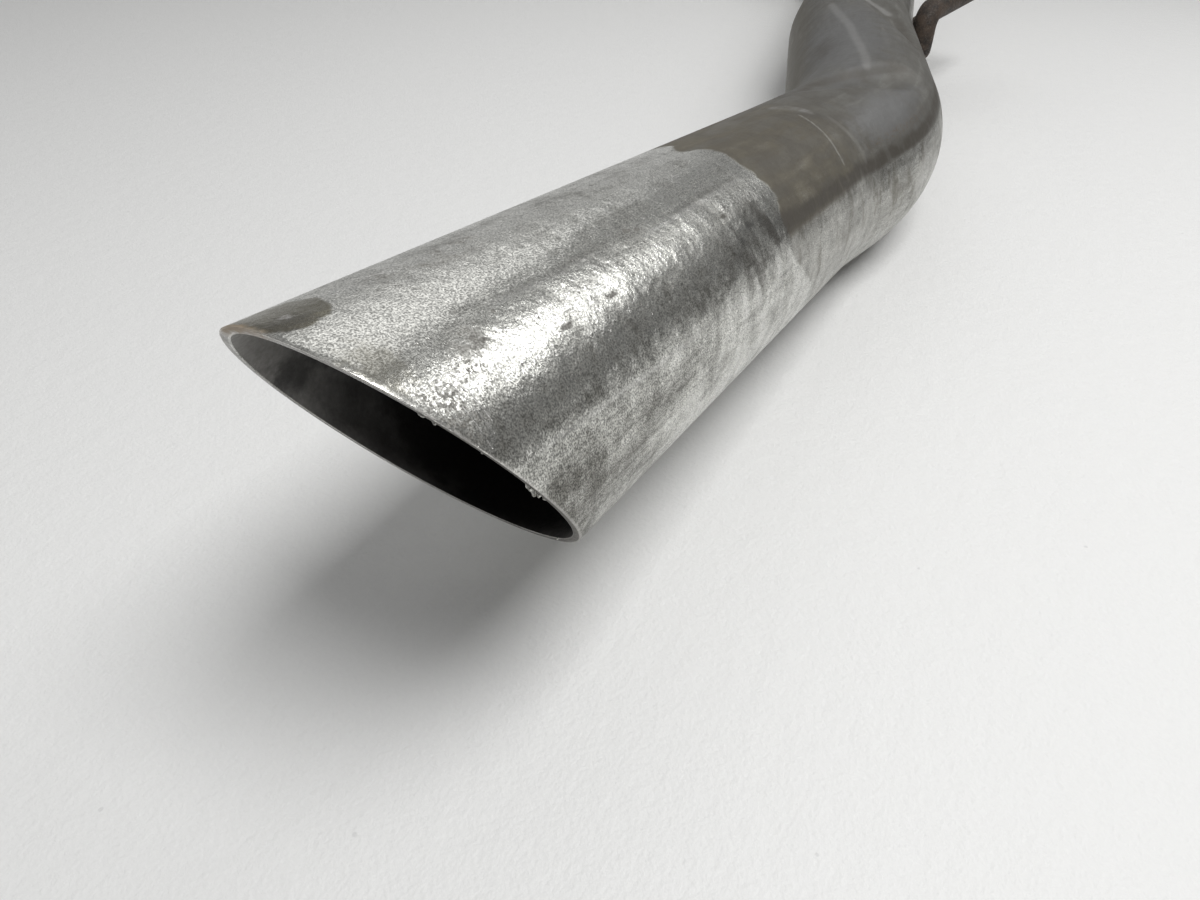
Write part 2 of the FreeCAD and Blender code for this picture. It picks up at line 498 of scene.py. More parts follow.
def patch(tree, flat, centre, reach, edge=0.35, rough=0.3, size=2.0):
    return placeGroup(tree, patchMask, {"Place": flat, "Centre": spot(*centre),
                                        "Reach": (reach[0], reach[1], 1.0), "Edge": edge,
                                        "Break": rough, "Break Size": size})["Mask"]


def strongest(tree, masks):
    total = masks[0]
    for mask in masks[1:]:
        total = calc(tree, "MAXIMUM", total, mask)
    return total


def polyline(tree, flat, points, width, softness):
    return strongest(tree, [stroke(tree, flat, a, b, width, softness)
                            for a, b in zip(points, points[1:])])


def noiseAt(tree, place, size, detail=3.0, roughness=0.55, offset=(0, 0, 0)):
    moved = vectorCalc(tree, "ADD", place, offset)
    return addNode(tree, "ShaderNodeTexNoise", {"Vector": moved, "Scale": 1.0 / size, "Detail": detail,
                                                "Roughness": roughness}).outputs[0]


def stretched(tree, place, along, across):
    return vectorCalc(tree, "DIVIDE", place, (along, across, across))


def mottle(tree, mask, noise, low=0.45, high=0.58):
    return calc(tree, "MULTIPLY", mask, remap(tree, noise, low, high))


def lay(tree, colour, mask, strength, coat):
    return blend(tree, calc(tree, "MULTIPLY", mask, strength), colour, coat)


def startMaterial(name):
    material = bpy.data.materials.new(name)
    material.use_nodes = True
    tree = material.node_tree
    shader = tree.nodes["Principled BSDF"]
    return material, tree, shader


# The noises that more than one layer of the finish reads: size, how far it is drawn out along and
# around the tube, detail, roughness, and where in the noise it starts
noises = {
    "wobble": (7.0, None, 3.0, 0.55, (0, 0, 0)),
    "wobbleFine": (1.6, None, 3.0, 0.55, (0, 0, 0)),
    "clouds": (11.0, None, 4.0, 0.6, (0, 0, 0)),
    "cloudsFine": (2.6, None, 4.0, 0.65, (7, 1, 2)),
    "blotch": (4.2, None, 6.0, 0.72, (5, 9, 1)),
    "smear": (5.0, (6.0, 1.0), 4.0, 0.6, (11, 3, 5)),
    "wiped": (4.6, (1.0, 2.0), 3.0, 0.55, (4, 4, 1)),
    "grain": (0.32, None, 1.0, 0.5, (0, 0, 0)),
    "speckle": (0.80, None, 3.0, 0.7, (3, 2, 8)),
    "drawn": (1.0, (45.0, 1.1), 3.0, 0.6, (0, 0, 0)),
    "drawnBroad": (1.0, (30.0, 3.4), 3.0, 0.6, (2, 7, 7)),
}


def addNoises(tree, at):
    for name, (size, drawnOut, detail, roughness, start) in noises.items():
        place = stretched(tree, at["place"], *drawnOut) if drawnOut else at["place"]
        at[name] = noiseAt(tree, place, size, detail, roughness, start)


def filmCover(tree, at):
    # where the bright spangled end gives way to the dull film
    edge = rollCurve(tree, at["roll"], skin["filmEdge"], 200.0)
    past = calc(tree, "SUBTRACT", at["distance"], edge)
    ragged = addSwing(tree, at["wobbleFine"], 2.0, addSwing(tree, at["wobble"], 5.0, past))
    beyond = remap(tree, ragged, -1.2, 1.2)
    share = addSwing(tree, at["smear"], 0.5, rollCurve(tree, at["roll"], skin["filmShare"], 1.0), True)
    return beyond, calc(tree, "MULTIPLY", beyond, share, clamp=True)


# Tarnish of the bare metal, with painted shade and a painted dark reflection mixed into it: how much
# there is, what each noise adds, and what each zone adds. A zone is between rolls that fade in and out,
# and the two by the mouth fade out with distance too.
tarnishAndShading = {
    "base": 0.16,
    "noises": (("clouds", -1.7), ("cloudsFine", -1.1), ("drawn", -0.7), ("drawnBroad", -0.9)),
    # the band is mottled tarnish with a painted dark reflection of the horizon in it
    "band": {"rolls": ((43.0, 53.0), (60.0, 72.0)), "blotch": (0.40, 0.60), "adds": 0.58},
    "crown": {"rolls": ((-32.0, -8.0), (8.0, 26.0)), "blotch": (0.50, 0.66), "adds": 0.30},
    # painted shade: the lower side near the mouth is darkened for the shadowed floor it reflects
    "dullSide": {"rolls": ((64.0, 84.0), None), "distances": (0.0, 75.0), "adds": 0.70},
    # the top behind the rim is made lighter
    "rubbedTop": {"rolls": ((-24.0, 10.0), (30.0, 46.0)), "distances": (6.0, 44.0), "adds": -0.42},
    "grain": (0.34, 0.66, 0.50, 1.40),
    "speckle": (0.30, 0.70, 0.88, 1.10),
}


def tarnishShadeZone(tree, at, zone):
    rise, fall = zone["rolls"]
    masks = [remap(tree, at["roll"], *rise)]
    if fall:
        masks.append(remap(tree, at["roll"], *fall, 1.0, 0.0))
    if "blotch" in zone:
        masks.append(remap(tree, at["blotch"], *zone["blotch"]))
    if "distances" in zone:
        masks.append(remap(tree, at["distance"], *zone["distances"], 1.0, 0.0))
    return product(tree, *masks)


def bareMetal(tree, at):
    # tarnish gathers in clouds, in drawn lines, and most in the mottled band above the side, which also
    # holds a painted dark reflection; the side is darkened towards the mouth as painted shade, and the
    # top is lighter behind the rim
    tarnishAndShade = tarnishAndShading["base"]
    for name, strength in tarnishAndShading["noises"]:
        tarnishAndShade = addSwing(tree, at[name], strength, tarnishAndShade)
    for name in ("band", "crown", "dullSide", "rubbedTop"):
        zone = tarnishAndShading[name]
        tarnishAndShade = calc(tree, "MULTIPLY_ADD", tarnishShadeZone(tree, at, zone), zone["adds"], tarnishAndShade)
    tarnishAndShade = calc(tree, "ADD", tarnishAndShade, 0.0, clamp=True)
    colour = blend(tree, tarnishAndShade, skin["brightMetal"], skin["darkMetal"])
    light = product(tree, remap(tree, at["grain"], *tarnishAndShading["grain"]),
                    remap(tree, at["speckle"], *tarnishAndShading["speckle"]))
    return blend(tree, 1.0, colour, join(tree, light, light, light), "MULTIPLY"), tarnishAndShade


def filmTone(tree, at):
    # brown towards the front, greyer round the bend, wiped thin in streaks
    farther = remap(tree, addSwing(tree, at["wobble"], 70.0, at["distance"]), 165.0, 225.0)
    colour = blend(tree, farther, skin["brownFilm"], skin["greyFilm"])
    colour = lay(tree, colour, remap(tree, at["smear"], 0.35, 0.65), 0.5, skin["greyFilm"])
    colour = lay(tree, colour, remap(tree, at["clouds"], 0.35, 0.62, 1.0, 0.0), 0.42, skin["darkStainAndShade"])
    colour = lay(tree, colour, remap(tree, at["cloudsFine"], 0.38, 0.60, 1.0, 0.0), 0.2,
                 skin["darkStainAndShade"])
    outer = calc(tree, "MULTIPLY", remap(tree, at["roll"], -62.0, -40.0, 1.0, 0.0),
                 remap(tree, at["roll"], -120.0, -80.0))
    return lay(tree, colour, outer, 0.5, skin["brownFilm"])


# The lines that the tube was drawn and handled with. A line is its points, half its width and its
# softness, then the noise range that breaks it, how fully it covers, and its colour.
drawnLines = (
    ([(-2, 20), (5.8, 22), (22, 25), (33, 24.3), (63, 26.8), (87, 26), (112, 26.5)], 0.15, 1.4,
     (0.36, 0.60), 0.30, "darkStainAndShade"),
    ([(5.8, 24), (33, 26.3), (63, 28.8), (112, 28.5)], 0.25, 0.9, (0.35, 0.60), 0.22, "paleMetal"),
    ([(-5, 66), (15, 68), (36, 70), (95, 72)], 0.15, 0.7, (0.35, 0.60), 0.30, "paleMetal"),
)
handling = {
    "sideFrom": ((30.0, 75.0), (58.0, 70.0)),
    "wiped": (((0.48, 0.64), 0.30, "darkMetal"), ((0.50, 0.36), 0.22, "paleMetal")),
    "streaks": (({"Turn": 1.25, "Length": 9.0, "Width": 0.22, "Share": 0.26}, 0.07, "paleMetal"),
                ({"Turn": 0.04, "Length": 26.0, "Width": 0.3, "Share": 0.3}, 0.18, "darkMetal")),
}


def drawnMarks(tree, at, colour):
    flat = at["flat"]
    for points, width, softness, broken, cover, coat in drawnLines:
        line = mottle(tree, polyline(tree, flat, points, width, softness), at["smear"], *broken)
        colour = lay(tree, colour, line, cover, skin[coat])
    distances, rolls = handling["sideFrom"]
    sides = product(tree, remap(tree, at["distance"], *distances), remap(tree, at["roll"], *rolls))
    for wiped, cover, coat in handling["wiped"]:
        colour = lay(tree, colour, mottle(tree, sides, at["wiped"], *wiped), cover, skin[coat])
    for form, cover, coat in handling["streaks"]:
        streaks = placeGroup(tree, streakMask, {"Place": flat, **form})["Mask"]
        colour = lay(tree, colour, streaks, cover, skin[coat])
    return colour


# Marks of the bright end. A patch is its centre, how far it reaches along and around, how soft and
# how broken its edge is, and the size of the breaks. A scratch is its ends, half its width and its
# softness.
brightEnd = {
    "tip": ((-20.6, -12.0), (8.0, 7.4), 0.07, 0.16, 4.0),
    "tipFades": (-29.0, -25.5),
    # the first patch is painted shade just behind the tip; the scar and the olive smear are real marks
    "tipStainsAndShade": ((((-22.5, -3.0), (3.6, 3.4), 0.5, 0.4, 1.5), 0.45, "darkStainAndShade"),
                  (((-21.0, -8.0), (0.95, 0.85), 0.5, 0.6, 0.7), 0.8, "scar"),
                  (((-22.0, 24.0), (4.2, 4.4), 0.6, 0.7, 1.8), 0.5, "olive")),
    # with the noise that breaks each one up
    "clusters": ((((-18.2, 44.0), (5.6, 5.2), 0.5, 0.6, 1.6), "speckle", 0.42, 0.56),
                 (((-9.5, 35.0), (4.2, 3.2), 0.6, 0.6, 1.6), "speckle", 0.48, 0.60),
                 (((-5.4, 29.5), (3.4, 2.9), 0.6, 0.6, 1.8), "blotch", 0.36, 0.52),
                 (((12.0, -6.0), (16.0, 4.5), 0.6, 0.5, 3.0), "blotch", 0.44, 0.60)),
    "pocks": (((-21.0, -8.3), (0.36, 0.36), 0.4, 0.3, 0.5), ((15.0, 41.5), (1.9, 0.6), 0.4, 0.9, 0.7),
              ((32.1, 41.0), (2.0, 0.5), 0.4, 0.9, 0.7), ((52.2, 24.0), (1.2, 0.7), 0.4, 0.7, 0.6),
              ((55.5, 25.5), (0.9, 0.5), 0.4, 0.6, 0.6), ((4.0, 26.0), (0.5, 0.5), 0.4, 0.4, 0.5),
              ((-2.8, 32.0), (0.9, 0.5), 0.4, 0.5, 0.5)),
    "ring": {"centre": (-1.0, -2.0), "reach": (1.9, 4.6, 1.0), "fade": (0.05, 0.35)},
    "scratches": (((-14.4, 38.0), (-13.2, 54.0), 0.03, 0.13),
                  ((-13.3, 39.0), (-12.2, 51.0), 0.03, 0.12),
                  ((-12.6, 41.0), (-12.4, 50.0), 0.03, 0.11),
                  ((-15.6, 44.0), (-15.0, 57.0), 0.03, 0.11),
                  ((3.0, -6.0), (-6.7, -21.0), 0.05, 0.25)),
    "cover": {"tip": 0.86, "clusters": 0.68, "pocks": 0.72, "ring": 0.35, "scratches": 0.70},
}


def frontMarks(tree, at, colour):
    flat, marks, cover = at["flat"], brightEnd, brightEnd["cover"]
    tip = product(tree, patch(tree, flat, *marks["tip"]),
                  remap(tree, at["distance"], *marks["tipFades"]))
    colour = lay(tree, colour, tip, cover["tip"], skin["tipFilm"])
    for form, share, coat in marks["tipStainsAndShade"]:
        colour = lay(tree, colour, patch(tree, flat, *form), share, skin[coat])
    clusters = strongest(tree, [mottle(tree, patch(tree, flat, *form), at[noise], low, high)
                                for form, noise, low, high in marks["clusters"]])
    colour = lay(tree, colour, clusters, cover["clusters"], skin["darkStainAndShade"])
    pocks = strongest(tree, [patch(tree, flat, *form) for form in marks["pocks"]])
    colour = lay(tree, colour, pocks, cover["pocks"], skin["darkStainAndShade"])
    # a stain that dried with a darker ring
    ring = marks["ring"]
    offset = vectorCalc(tree, "SUBTRACT", flat, spot(*ring["centre"]))
    away = vectorCalc(tree, "LENGTH", vectorCalc(tree, "DIVIDE", offset, ring["reach"]))
    away = calc(tree, "ABSOLUTE", calc(tree, "SUBTRACT", away, 1.0))
    dried = mottle(tree, remap(tree, away, *ring["fade"], 1.0, 0.0), at["wobbleFine"], 0.42, 0.60)
    colour = lay(tree, colour, dried, cover["ring"], skin["darkStainAndShade"])
    scratches = strongest(tree, [stroke(tree, flat, *line) for line in marks["scratches"]])
    broken = mottle(tree, scratches, at["speckle"], 0.3, 0.6)
    colour = lay(tree, colour, broken, cover["scratches"], skin["paleMetal"])
    return colour, calc(tree, "MAXIMUM", clusters, pocks), scratches


# Marks behind the bright end, told in the same way. A line is its points, half its width and its
# softness.
filmedEnd = {
    "smudge": ((101.0, 55.0), (21.0, 8.5), 0.7, 0.5, 6.0),
    "pock": ((88.4, 39.0), (1.6, 0.6), 0.4, 0.6, 0.7),
    "sideFrom": (61.0, 67.0),
    # a painted dark reflection of the horizon along the film's lower edge
    "paintedDarkReflection": ([(118, 57.0), (161, 58.5), (207, 60.0), (250, 59.0), (292, 54.0)], 1.0, 2.6),
    "bluePatches": (((236.0, 36.0), (26.0, 7.5), 0.6, 0.5, 7.0),
                    ((310.0, -18.0), (60.0, 16.0), 0.6, 0.5, 9.0)),
    "darkSmears": (((190.0, 17.0), (9.0, 3.6), 0.6, 0.6, 3.0),
                   ((207.0, 27.0), (14.0, 3.2), 0.6, 0.6, 3.0)),
    "darkOval": ((308.0, -37.0), (12.0, 4.6), 0.7, 0.5, 5.0),
    # painted shade in the creases of the two folds
    "foldShadeLines": (([(219, -17), (236, -22), (246, -16), (255.6, -8), (263.7, 3), (270.8, 15),
                    (274.8, 24)], 0.5, 1.8),
                  ([(366, 31), (352, 39), (330, 37), (318, 33)], 0.8, 3.0)),
    "rustSpots": ((237.0, 49.5), (21.0, 1.8), 0.5, 0.5, 3.0),
    "rubbedEdge": ((187.5, -5), (193.5, 10), 1.2, 2.8),
    # painted highlights: a pale line along a faint crease on the top of the rear leg, and a crescent on
    # the far wall of the second fold
    "highlightLines": (([(265, -1), (284, -8), (304, -12), (329, -15), (353, -21), (382, -28)],
                     0.5, 2.2, 0.6),
                    ([(386, -4), (379, 5), (375, 15), (371, 22)], 0.8, 2.6, 1.0)),
    "dieLine": ([(185.0, 12), (183.8, 20), (181.8, 33), (179.7, 43), (179.0, 50)], 0.15, 0.9),
    "faintLine": ([(200.5, 24), (201.1, 32), (203.2, 43), (202.2, 55)], 0.5, 2.0),
    "cover": {"smudge": 0.70, "pock": 0.72, "shown": 0.45, "brown": 0.50, "paintedDarkReflection": 0.92,
              "blue": 0.60, "dark": 0.45, "rust": 0.55, "paleSmearAndHighlights": 0.34, "die": 0.28, "faint": 0.11},
}


def rearMarks(tree, at, colour, beyond):
    flat, marks, cover = at["flat"], filmedEnd, filmedEnd["cover"]
    # sooty smears wiped round the tube where the film begins
    smudge = mottle(tree, patch(tree, flat, *marks["smudge"]), at["wiped"], 0.36, 0.60)
    colour = lay(tree, colour, smudge, cover["smudge"], skin["darkStainAndShade"])
    colour = lay(tree, colour, patch(tree, flat, *marks["pock"]), cover["pock"], skin["darkStainAndShade"])
    # below the painted dark reflection line the metal shows through, wiped and brown in places
    under = product(tree, beyond, remap(tree, at["roll"], *marks["sideFrom"]))
    shown = mottle(tree, under, at["wiped"], 0.62, 0.40)
    colour = lay(tree, colour, shown, cover["shown"], skin["sideMetal"])
    brown = noiseAt(tree, stretched(tree, at["place"], 1.0, 2.4), 7.0, 4.0, 0.6, (2, 8, 8))
    brown = mottle(tree, under, brown, 0.50, 0.66)
    colour = lay(tree, colour, brown, cover["brown"], skin["brownFilm"])
    # painted dark reflection of the horizon, a wavering line along the lower edge of the film
    arc = calc(tree, "MULTIPLY", at["roll"], skin["arcPerDegree"])
    bent = join(tree, at["distance"], addSwing(tree, at["wobble"], 3.0, arc), 0.0)
    paintedDarkReflection = product(tree, polyline(tree, bent, *marks["paintedDarkReflection"]),
                       remap(tree, at["wiped"], 0.34, 0.50, 0.45, 1.0))
    colour = lay(tree, colour, paintedDarkReflection, cover["paintedDarkReflection"], skin["darkStainAndShade"])
    blue = strongest(tree, [patch(tree, flat, *form) for form in marks["bluePatches"]])
    colour = lay(tree, colour, blue, cover["blue"], skin["blueFilm"])
    # smears and an oval of stain, and painted shade along the fold creases
    dark = strongest(tree, [mottle(tree, patch(tree, flat, *form), at["smear"], 0.3, 0.6)
                            for form in marks["darkSmears"]]
                     + [patch(tree, flat, *marks["darkOval"])]
                     + [polyline(tree, flat, *line) for line in marks["foldShadeLines"]])
    colour = lay(tree, colour, dark, cover["dark"], skin["darkStainAndShade"])
    rustSpots = mottle(tree, patch(tree, flat, *marks["rustSpots"]), at["speckle"], 0.52, 0.60)
    colour = lay(tree, colour, rustSpots, cover["rust"], skin["rustSpot"])
    # a pale smear by the film's edge, and the two painted highlight lines
    paleSmearAndHighlights = [calc(tree, "MULTIPLY", polyline(tree, flat, *line), share)
              for *line, share in marks["highlightLines"]]
    paleSmearAndHighlights.append(mottle(tree, stroke(tree, flat, *marks["rubbedEdge"]), at["smear"], 0.3, 0.6))
    colour = lay(tree, colour, strongest(tree, paleSmearAndHighlights), cover["paleSmearAndHighlights"], skin["paleFilmAndHighlight"])
    die = mottle(tree, polyline(tree, flat, *marks["dieLine"]), at["wobbleFine"], 0.25, 0.55)
    faint = polyline(tree, flat, *marks["faintLine"])
    colour = lay(tree, colour, die, cover["die"], skin["dieLine"])
    colour = lay(tree, colour, faint, cover["faint"], skin["faintLine"])
    return colour, calc(tree, "MULTIPLY_ADD", faint, 0.5, die)


# The sawn ends: how far inside the two edges the dark end face starts, which is painted shade, and the
# lighter band and the tan behind the rim
rim = {
    "outerFade": (-0.36, -0.24),
    "innerFade": (0.14, 0.30),
    # how fully the painted shade covers the end face
    "dull": 0.92,
    # a thin lighter band along the outer edge of the outlet
    "paleEdgeBand": {"reach": (-0.4, 0.25), "wobble": -1.0, "cover": 0.55},
    "tan": {"reach": (-0.9, 0.9), "wobble": -2.2, "cover": 0.65,
            "place": ((-25.0, -22.0), (8.0, 9.0), 0.45, 0.35, 2.0)},
}


def shadedSawnFace(tree, at, colour):
    # the sawn ends are painted dark between their two edges, as painted shade, with saw marks in it
    outer, inner = pipe["outerRadius"], pipe["outerRadius"] - pipe["wall"]
    face = product(tree, remap(tree, at["radius"], *[outer + v for v in rim["outerFade"]], 1.0, 0.0),
                   remap(tree, at["radius"], *[inner + v for v in rim["innerFade"]]))
    sawn = noiseAt(tree, stretched(tree, at["place"], 0.3, 1.5), 0.6, 3.0, 0.6, (1, 6, 2))
    coat = blend(tree, remap(tree, sawn, 0.3, 0.7), skin["shadedCutFace"], skin["shadedCutFaceLight"])
    return lay(tree, colour, face, rim["dull"], coat)


def rimWear(tree, at, colour):
    # the outer edge of the outlet is lighter in a thin band, and its tip has gone tan
    turned = calc(tree, "MULTIPLY", calc(tree, "SUBTRACT", at["roll"], pipe["cutLongSide"]),
                  math.pi / 180)
    cut = calc(tree, "MULTIPLY", calc(tree, "COSINE", turned),
               -pipe["outerRadius"] * math.tan(math.radians(pipe["cutAngle"])))
    fromRim = calc(tree, "SUBTRACT", at["distance"], cut)

    def nearRim(kind):
        uneven = calc(tree, "MULTIPLY_ADD", at["wobbleFine"], kind["wobble"], fromRim)
        return remap(tree, uneven, *kind["reach"], 1.0, 0.0)

    colour = lay(tree, colour, nearRim(rim["paleEdgeBand"]), rim["paleEdgeBand"]["cover"], skin["paleOuterEdge"])
    colour = shadedSawnFace(tree, at, colour)
    tan = product(tree, nearRim(rim["tan"]), patch(tree, at["flat"], *rim["tan"]["place"]))
    return lay(tree, colour, tan, rim["tan"]["cover"], skin["tanRust"]), tan


# Pits, thickest along the upper side of the bright end
pits = {
    "zone": ((28.0, 33.0), (78.0, 13.0), 0.6, 0.4, 9.0),
    "share": (0.36, 0.05),      # in the zone, and elsewhere
    "form": {"Spacing": 1.9, "Size": 0.36},
    "cover": 0.62,
}


def pitting(tree, at, film):
    zone = product(tree, patch(tree, at["flat"], *pits["zone"]), calc(tree, "SUBTRACT", 1.0, film))
    share = calc(tree, "MULTIPLY_ADD", zone, *pits["share"])
    return placeGroup(tree, pitMask, {"Place": at["place"], "Share": share, **pits["form"]})["Mask"]


# How shiny each layer is, and how high the relief stands, in metres
surface = {
    "grainRoughness": (0.3, 0.7, 0.32, 0.24),
    "tarnishRoughness": 0.22,
    "filmRoughness": (0.3, 0.7, 0.64, 0.52),
    "dullRoughness": 0.62,
    "filmMetallic": 0.40,
    "dullMetallic": 0.4,
    "spangle": 0.000018,
    "dents": 0.00055,
    "marks": 0.00007,
}


def addRelief(tree, height, distance, under=None):
    inputs = {"Strength": 1.0, "Distance": distance, "Height": height}
    if under is not None:
        inputs["Normal"] = under
    return addNode(tree, "ShaderNodeBump", inputs).outputs[0]


def setSurface(tree, shader, at, film, tarnishAndShade, dull, lines):
    roughBare = calc(tree, "MULTIPLY_ADD", tarnishAndShade, surface["tarnishRoughness"],
                     remap(tree, at["grain"], *surface["grainRoughness"]))
    roughFilm = remap(tree, at["smear"], *surface["filmRoughness"])
    mixed = addNode(tree, "ShaderNodeMix", {0: film, 2: roughBare, 3: roughFilm}).outputs[0]
    roughest = calc(tree, "MAXIMUM", mixed, calc(tree, "MULTIPLY", dull, surface["dullRoughness"]))
    tree.links.new(roughest, shader.inputs["Roughness"])
    metal = calc(tree, "MINIMUM", remap(tree, film, 0.0, 1.0, 1.0, surface["filmMetallic"]),
                 remap(tree, dull, 0.0, 1.0, 1.0, surface["dullMetallic"]))
    tree.links.new(metal, shader.inputs["Metallic"])
    # spangle, then the shallow dents of handling, then pits, scratches and die lines
    spangle = calc(tree, "MULTIPLY_ADD", noiseAt(tree, at["place"], 0.2, 1.0, 0.6, (3, 9, 4)), 0.5,
                   at["grain"])
    spangle = product(tree, spangle, remap(tree, film, 0.0, 1.0, 1.0, 0.2))
    dents = calc(tree, "MULTIPLY_ADD", at["cloudsFine"], 0.14, at["clouds"])
    relief = addRelief(tree, spangle, surface["spangle"])
    relief = addRelief(tree, dents, surface["dents"], relief)
    tree.links.new(addRelief(tree, lines, surface["marks"], relief), shader.inputs["Normal"])


def makeFront():
    material, tree, shader = startMaterial("aluminisedFront")
    at = tubePlaces(tree)
    addNoises(tree, at)
    colour, tarnishAndShade = bareMetal(tree, at)
    colour = drawnMarks(tree, at, colour)
    colour, stains, scratches = frontMarks(tree, at, colour)
    pitted = pitting(tree, at, 0.0)
    colour = lay(tree, colour, pitted, pits["cover"], skin["darkStainAndShade"])
    colour, tan = rimWear(tree, at, colour)
    tree.links.new(colour, shader.inputs["Base Color"])
    lines = calc(tree, "MULTIPLY", calc(tree, "MAXIMUM", pitted, scratches), -1.0)
    setSurface(tree, shader, at, 0.0, tarnishAndShade, strongest(tree, [stains, pitted, tan]), lines)
    return material


def makeRear():
    material, tree, shader = startMaterial("filmedSteel")
    at = tubePlaces(tree)
    addNoises(tree, at)
    beyond, film = filmCover(tree, at)
    bare, tarnishAndShade = bareMetal(tree, at)
    colour = blend(tree, film, drawnMarks(tree, at, bare), filmTone(tree, at))
    colour, dieLines = rearMarks(tree, at, colour, beyond)
    pitted = pitting(tree, at, film)
    colour = lay(tree, colour, pitted, pits["cover"], skin["darkStainAndShade"])
    colour = shadedSawnFace(tree, at, colour)
    tree.links.new(colour, shader.inputs["Base Color"])
    setSurface(tree, shader, at, film, tarnishAndShade, pitted, calc(tree, "SUBTRACT", dieLines, pitted))
    return material


# The inside of the tube: grey steel, sooted deeper in
bore = {
    "steel": tone(0.31, 0.30, 0.285),
    "soot": tone(0.014, 0.013, 0.012),
    "sootFrom": -16.0,
    "sootTo": 30.0,
    "drips": ((6.0, -75.0), (11.0, 8.0), 0.7, 0.8, 3.5),
    "dripCover": 0.6,
    "fineCover": 0.16,
    "relief": 0.00008,
}


def makeBore():
    material, tree, shader = startMaterial("sootedBore")
    at = tubePlaces(tree)
    clouds = noiseAt(tree, at["place"], 9.0, 4.0, 0.6)
    fine = noiseAt(tree, at["place"], 1.2, 4.0, 0.65)
    deep = remap(tree, addSwing(tree, clouds, 40.0, at["distance"]), bore["sootFrom"], bore["sootTo"])
    colour = blend(tree, deep, bore["steel"], bore["soot"])
    drips = mottle(tree, patch(tree, at["flat"], *bore["drips"]), clouds, 0.42, 0.6)
    colour = lay(tree, colour, drips, bore["dripCover"], bore["soot"])
    colour = lay(tree, colour, remap(tree, fine, 0.35, 0.65, 1.0, 0.0), bore["fineCover"], bore["soot"])
    tree.links.new(colour, shader.inputs["Base Color"])
    tree.links.new(remap(tree, fine, 0.3, 0.7, 0.68, 0.52), shader.inputs["Roughness"])
    tree.links.new(remap(tree, deep, 0.0, 1.0, 0.7, 0.0), shader.inputs["Metallic"])
    tree.links.new(addRelief(tree, fine, bore["relief"]), shader.inputs["Normal"])
    return material


for finish in (makeFront(), makeBore(), makeRear()):
    tube.data.materials.append(finish)
print("tube finished")


def makePiece(name, points, faces, node):
    mesh = bpy.data.meshes.new(name)
    mesh.from_pydata([tuple(point) for point in points], [], faces)
    mesh.polygons.foreach_set("use_smooth", [True] * len(faces))
    mesh.update()
    piece = bpy.data.objects.new(name, mesh)
    bpy.context.scene.collection.objects.link(piece)
    facesOut(piece)
    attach(piece, "root")
    if node:
        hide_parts(node)
    return piece


# Burrs that the saw left on the inner edge of the outlet: (roll, size in millimetres)
burrs = {
    "lumps": ((39.5, 0.42), (43.0, 0.36), (57.0, 0.22), (74.3, 0.62), (76.4, 0.72), (79.0, 0.46),
              (81.5, 0.3), (142.0, 0.3)),
    "rings": 9,
    "segments": 14,
    "stretch": (1.25, 0.85, 0.9),      # around the edge, out from it, and along the tube
    "uneven": (0.22, 0.12),
    "roughness": 0.34,
}


def makeBurrs():
    point, direction, side, top = [np.array(v) for v in pathFrame(pathParts, 0.0)]
    radius = pipe["outerRadius"] - pipe["wall"]
    slant = math.tan(math.radians(pipe["cutAngle"]))
    wide, high, long = burrs["stretch"]
    broad, narrow = burrs["uneven"]
    points, faces = [], []
    for number, (roll, size) in enumerate(burrs["lumps"]):
        angle = math.radians(roll)
        outward = side * math.sin(angle) + top * math.cos(angle)
        around = np.cross(direction, outward)
        away = -radius * slant * math.cos(angle - math.radians(pipe["cutLongSide"]))
        centre = point + outward * (radius + 0.15) + direction * (away + 0.1)
        start = len(points)
        rings, segments = burrs["rings"], burrs["segments"]
        for ring in range(rings):
            lift = math.pi * (ring + 0.5) / rings
            for segment in range(segments):
                turn = 2 * math.pi * segment / segments
                uneven = 1.0 + broad * math.sin(2 * turn + number * 1.7 + lift) \
                    + narrow * math.cos(3 * lift + number)
                bump = (around * math.sin(lift) * math.cos(turn) * wide
                        + outward * math.sin(lift) * math.sin(turn) * high
                        - direction * math.cos(lift) * long)
                points.append((centre + bump * size * uneven) * 0.001)
        for ring in range(rings - 1):
            for segment in range(segments):
                beside = (segment + 1) % segments
                faces.append((start + ring * segments + segment, start + ring * segments + beside,
                              start + (ring + 1) * segments + beside,
                              start + (ring + 1) * segments + segment))
        faces.append(tuple(start + segment for segment in reversed(range(segments))))
        faces.append(tuple(start + (rings - 1) * segments + segment for segment in range(segments)))
    piece = makePiece("outletBurrs", points, faces, None)
    material, tree, shader = startMaterial("burredSteel")
    place = vectorCalc(tree, "SCALE", addNode(tree, "ShaderNodeTexCoord").outputs["Object"], 1000.0)
    fine = noiseAt(tree, place, 0.5, 3.0)
    tree.links.new(blend(tree, remap(tree, fine, 0.35, 0.65), skin["darkMetal"], skin["brightMetal"]),
                   shader.inputs["Base Color"])
    shader.inputs["Roughness"].default_value = burrs["roughness"]
    shader.inputs["Metallic"].default_value = 1.0
    piece.data.materials.append(material)


makeBurrs()


# The hanger rod: bare steel, rusted brown
rodFinish = {
    "darkRust": tone(0.030, 0.024, 0.020),
    "brownRust": tone(0.074, 0.053, 0.039),
    "paleScale": tone(0.155, 0.138, 0.120),
    "metallic": 0.35,
    "relief": 0.00012,
    "pits": {"Spacing": 1.6, "Share": 0.35, "Size": 0.4},
    "pitCover": 0.7,
    "scaleCover": 0.6,
}


